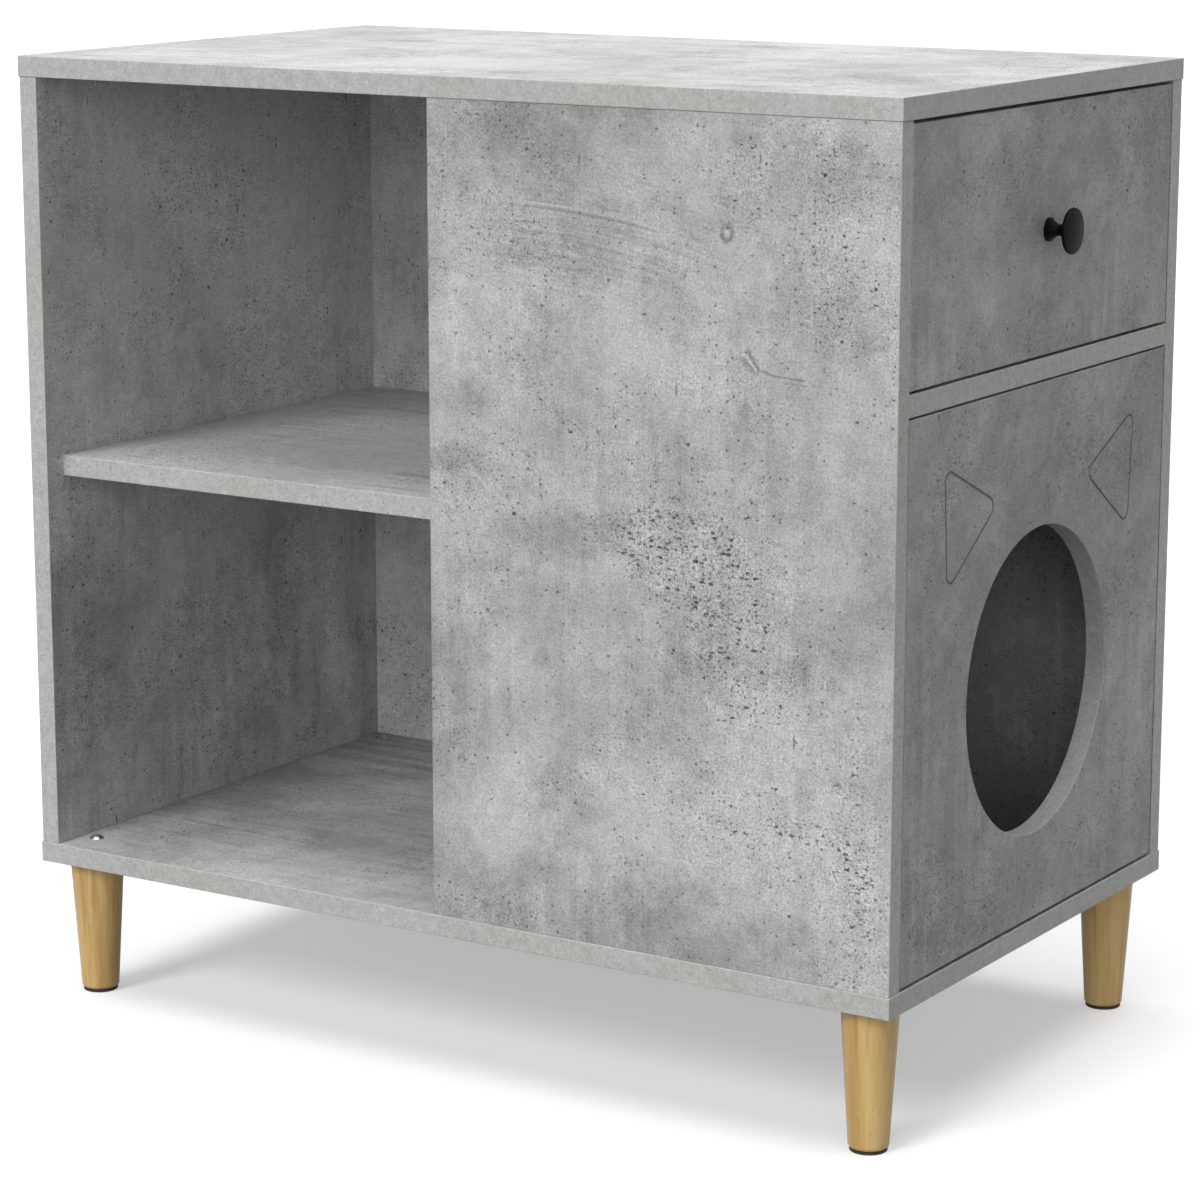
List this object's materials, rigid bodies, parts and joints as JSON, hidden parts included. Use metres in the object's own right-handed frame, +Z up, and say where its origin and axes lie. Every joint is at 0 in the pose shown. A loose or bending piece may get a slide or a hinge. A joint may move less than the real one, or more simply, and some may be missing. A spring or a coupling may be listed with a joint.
{
  "type": "cat house",
  "caption": "Grey board cat house on turned wooden legs: open shelves beside a drawer and a chamber that is entered through a round hole in its hinged door.",
  "frame": {"origin": "on the floor under the middle of the overall box, knob included, which is 9.65 mm right of the middle of the cabinet", "axes": "+Z up, -Y out of the open shelves, +X out of the drawer and the entrance"},
  "size_m": [0.7344, 0.424, 0.699],
  "materials": {
    "concrete_board": "matt concrete-grey decor board",
    "drawer_board": "plain grey melamine board",
    "hardboard": "thin painted hardboard",
    "leg_wood": "clear-varnished light wood",
    "foot_pad": "matt black",
    "black_metal": "satin black",
    "zinc_steel": "bright zinc",
    "runner_paint": "white powder coat",
    "nylon": "natural nylon",
    "catch_plastic": "grey moulded plastic",
    "magnet": "dark ferrite",
    "dowel_wood": "bare beech"
  },
  "bodies": {
    "carcase": {"top_panel": "concrete_board", "bottom_panel": "concrete_board", "left_panel": "concrete_board", "back_panel": "concrete_board", "front_panel": "concrete_board", "divider_panel": "concrete_board", "shelf": "concrete_board", "drawer_deck": "concrete_board", "front_left_leg": "leg_wood", "back_left_leg": "leg_wood", "front_right_leg": "leg_wood", "back_right_leg": "leg_wood", "foot_pads": "foot_pad", "leg_bolts": "zinc_steel", "leg_inserts": "zinc_steel", "cam_bolts": "zinc_steel", "cam_discs": "zinc_steel", "confirmat_screws": "zinc_steel", "catch_screws": "zinc_steel", "cabinet_roller_axles": "zinc_steel", "cabinet_runner_screws": "zinc_steel", "cabinet_runner_left": "runner_paint", "cabinet_runner_right": "runner_paint", "pivot_bushes": "nylon", "catch_housing": "catch_plastic", "catch_magnet": "magnet", "wood_dowels": "dowel_wood"},
    "door": {"entrance_door": "concrete_board", "door_pivot_pins": "zinc_steel", "strike_plate": "zinc_steel", "strike_screw": "zinc_steel"},
    "drawer": {"drawer_front": "concrete_board", "drawer_left_side": "drawer_board", "drawer_right_side": "drawer_board", "drawer_back": "drawer_board", "drawer_bottom": "hardboard", "drawer_knob": "black_metal", "knob_screw": "zinc_steel", "drawer_runner_left": "runner_paint", "drawer_runner_right": "runner_paint", "drawer_roller_axles": "zinc_steel", "drawer_runner_screws": "zinc_steel", "drawer_cam_bolts": "zinc_steel", "drawer_cam_discs": "zinc_steel", "drawer_confirmats": "zinc_steel", "drawer_bottom_screws": "zinc_steel"},
    "cabinet_roller_left": {"cabinet_roller_left": "nylon"},
    "cabinet_roller_right": {"cabinet_roller_right": "nylon"},
    "drawer_roller_left": {"drawer_roller_left": "nylon"},
    "drawer_roller_right": {"drawer_roller_right": "nylon"}
  },
  "joints": [
    {"name": "drawer_slide", "type": "slide", "parent": "carcase", "child": "drawer", "axis": [1, 0, 0], "range_m": [0, 0.22]},
    {"name": "door_hinge", "type": "hinge", "parent": "carcase", "child": "door", "pos_m": [0.34115, 0.1843, 0.3], "axis": [0, 0, 1], "range_deg": [0, 100]},
    {"name": "cabinet_roller_left_spin", "type": "hinge", "parent": "carcase", "child": "cabinet_roller_left", "pos_m": [0.31515, -0.1893, 0.5385], "axis": [0, 1, 0], "range_deg": [0, 1210]},
    {"name": "cabinet_roller_right_spin", "type": "hinge", "parent": "carcase", "child": "cabinet_roller_right", "pos_m": [0.31515, 0.1893, 0.5385], "axis": [0, 1, 0], "range_deg": [0, 1210]},
    {"name": "drawer_roller_left_spin", "type": "hinge", "parent": "drawer", "child": "drawer_roller_left", "pos_m": [0.04615, -0.1893, 0.5373], "axis": [0, 1, 0], "range_deg": [0, 1210]},
    {"name": "drawer_roller_right_spin", "type": "hinge", "parent": "drawer", "child": "drawer_roller_right", "pos_m": [0.04615, 0.1893, 0.5373], "axis": [0, 1, 0], "range_deg": [0, 1210]}
  ],
  "couplings": [
    {"joint": "cabinet_roller_left_spin", "follows": "drawer_slide", "rad_per_m": 95.238},
    {"joint": "cabinet_roller_right_spin", "follows": "drawer_slide", "rad_per_m": 95.238},
    {"joint": "drawer_roller_left_spin", "follows": "drawer_slide", "rad_per_m": 95.238},
    {"joint": "drawer_roller_right_spin", "follows": "drawer_slide", "rad_per_m": 95.238}
  ]
}
